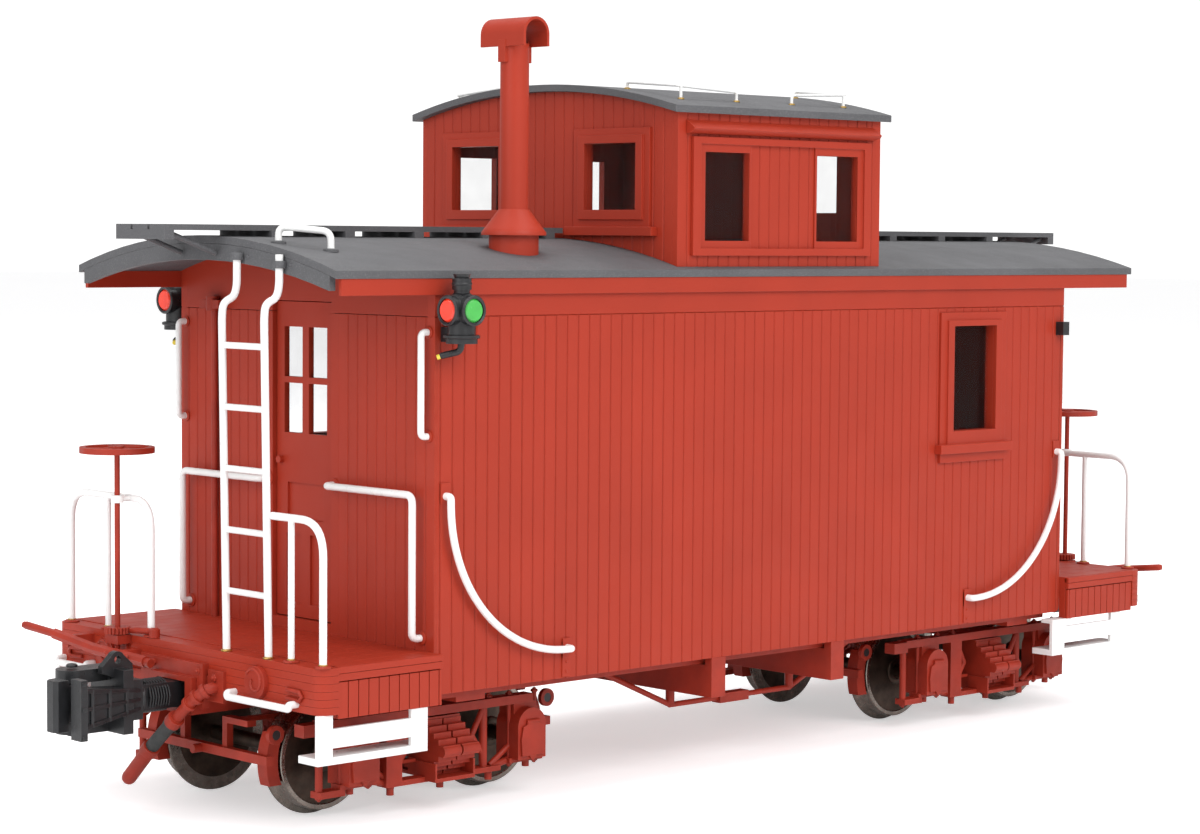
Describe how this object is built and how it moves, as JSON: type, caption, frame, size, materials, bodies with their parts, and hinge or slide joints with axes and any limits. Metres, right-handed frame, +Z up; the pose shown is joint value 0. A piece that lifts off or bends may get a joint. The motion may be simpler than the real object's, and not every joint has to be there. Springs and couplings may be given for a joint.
{
  "type": "scale model caboose",
  "caption": "Short eight-wheel rail caboose model with a centre cupola, open end platforms, swivelling trucks, hinged doors, swinging couplers and turning brake wheels.",
  "frame": {"origin": "middle of the car, at the lowest point of the wheel flanges", "axes": "+X along the car towards the rear platform, +Y across it, +Z up; the front platform with the marker lamps is at -X"},
  "size_m": [0.419, 0.1352, 0.211],
  "materials": {
    "red_body": "satin oxide-red paint on moulded boards",
    "red_frame": "satin oxide-red paint on castings",
    "roof_grey": "matt charcoal, fine grit",
    "white_rail": "satin white paint on wire",
    "window_pane": "clear glazing",
    "black_metal": "satin black",
    "red_lens": "glossy red lens",
    "green_lens": "glossy green lens",
    "hose_rubber": "matt black rubber with painted ends",
    "wheel_steel": "dark weathered steel with bright treads"
  },
  "bodies": {
    "carbody": {"underframe": "red_frame", "floor": "red_body", "needle_beams": "red_frame", "truss_rods": "red_frame", "left_side": "red_body", "right_side": "red_body", "front_end_wall": "red_body", "rear_end_wall": "red_body", "window_glass": "window_pane", "window_trim": "red_body", "main_roof": "roof_grey", "roof_end_boards": "roof_grey", "eave_boards": "red_body", "front_running_boards": "roof_grey", "rear_running_boards": "roof_grey", "cupola_left_side": "red_body", "cupola_right_side": "red_body", "cupola_front": "red_body", "cupola_rear": "red_body", "cupola_roof": "roof_grey", "roof_grab_rails": "white_rail", "smoke_jack": "red_body", "front_platform": "red_body", "rear_platform": "red_body", "end_sills": "red_body", "front_ladder": "white_rail", "rear_ladder": "white_rail", "front_railings": "white_rail", "rear_railings": "white_rail", "wall_grab_rails": "white_rail", "marker_lamps": "black_metal", "red_lenses": "red_lens", "green_lenses": "green_lens", "brake_pipes": "red_frame", "corner_steps": "white_rail", "draft_gear": "red_frame", "uncoupling_levers": "red_frame", "air_hoses": "hose_rubber"},
    "front_door": {"front_door": "red_body", "front_door_glass": "window_pane"},
    "rear_door": {"rear_door": "red_body", "rear_door_glass": "window_pane"},
    "front_brake_wheel": {"front_brake_wheel": "red_frame"},
    "rear_brake_wheel": {"rear_brake_wheel": "red_frame"},
    "front_coupler": {"front_coupler": "black_metal"},
    "front_knuckle": {"front_knuckle": "black_metal"},
    "rear_coupler": {"rear_coupler": "black_metal"},
    "rear_knuckle": {"rear_knuckle": "black_metal"},
    "front_truck": {"front_truck_frame": "red_frame", "front_truck_springs": "red_frame", "front_brake_beams": "red_frame"},
    "rear_truck": {"rear_truck_frame": "red_frame", "rear_truck_springs": "red_frame", "rear_brake_beams": "red_frame"},
    "front_outer_wheelset": {"front_outer_wheelset": "wheel_steel"},
    "front_inner_wheelset": {"front_inner_wheelset": "wheel_steel"},
    "rear_inner_wheelset": {"rear_inner_wheelset": "wheel_steel"},
    "rear_outer_wheelset": {"rear_outer_wheelset": "wheel_steel"}
  },
  "joints": [
    {"name": "front_truck_swivel", "type": "hinge", "parent": "carbody", "child": "front_truck", "pos_m": [-0.114, 0, 0.028], "axis": [0, 0, 1], "range_deg": [-8, 8]},
    {"name": "front_door_swing", "type": "hinge", "parent": "carbody", "child": "front_door", "pos_m": [-0.1264, -0.013, 0.09], "axis": [0, 0, -1], "range_deg": [0, 95]},
    {"name": "front_brake_wheel_turn", "type": "hinge", "parent": "carbody", "child": "front_brake_wheel", "pos_m": [-0.1718, 0.026, 0.06], "axis": [0, 0, 1], "continuous": true},
    {"name": "front_coupler_swing", "type": "hinge", "parent": "carbody", "child": "front_coupler", "pos_m": [-0.1584, 0, 0.0325], "axis": [0, 0, 1], "range_deg": [-8, 8]},
    {"name": "front_knuckle_open", "type": "hinge", "parent": "front_coupler", "child": "front_knuckle", "pos_m": [-0.199, 0.0062, 0.0325], "axis": [0, 0, -1], "range_deg": [0, 45]},
    {"name": "rear_truck_swivel", "type": "hinge", "parent": "carbody", "child": "rear_truck", "pos_m": [0.114, 0, 0.028], "axis": [0, 0, 1], "range_deg": [-8, 8]},
    {"name": "rear_door_swing", "type": "hinge", "parent": "carbody", "child": "rear_door", "pos_m": [0.1264, 0.013, 0.09], "axis": [0, 0, -1], "range_deg": [0, 95]},
    {"name": "rear_brake_wheel_turn", "type": "hinge", "parent": "carbody", "child": "rear_brake_wheel", "pos_m": [0.1718, -0.026, 0.06], "axis": [0, 0, 1], "continuous": true},
    {"name": "rear_coupler_swing", "type": "hinge", "parent": "carbody", "child": "rear_coupler", "pos_m": [0.1584, 0, 0.0325], "axis": [0, 0, 1], "range_deg": [-8, 8]},
    {"name": "rear_knuckle_open", "type": "hinge", "parent": "rear_coupler", "child": "rear_knuckle", "pos_m": [0.199, -0.0062, 0.0325], "axis": [0, 0, -1], "range_deg": [0, 45]},
    {"name": "front_outer_axle", "type": "hinge", "parent": "front_truck", "child": "front_outer_wheelset", "pos_m": [-0.143, 0, 0.0159], "axis": [0, 1, 0], "continuous": true},
    {"name": "front_inner_axle", "type": "hinge", "parent": "front_truck", "child": "front_inner_wheelset", "pos_m": [-0.085, 0, 0.0159], "axis": [0, 1, 0], "continuous": true},
    {"name": "rear_inner_axle", "type": "hinge", "parent": "rear_truck", "child": "rear_inner_wheelset", "pos_m": [0.085, 0, 0.0159], "axis": [0, 1, 0], "continuous": true},
    {"name": "rear_outer_axle", "type": "hinge", "parent": "rear_truck", "child": "rear_outer_wheelset", "pos_m": [0.143, 0, 0.0159], "axis": [0, 1, 0], "continuous": true}
  ]
}
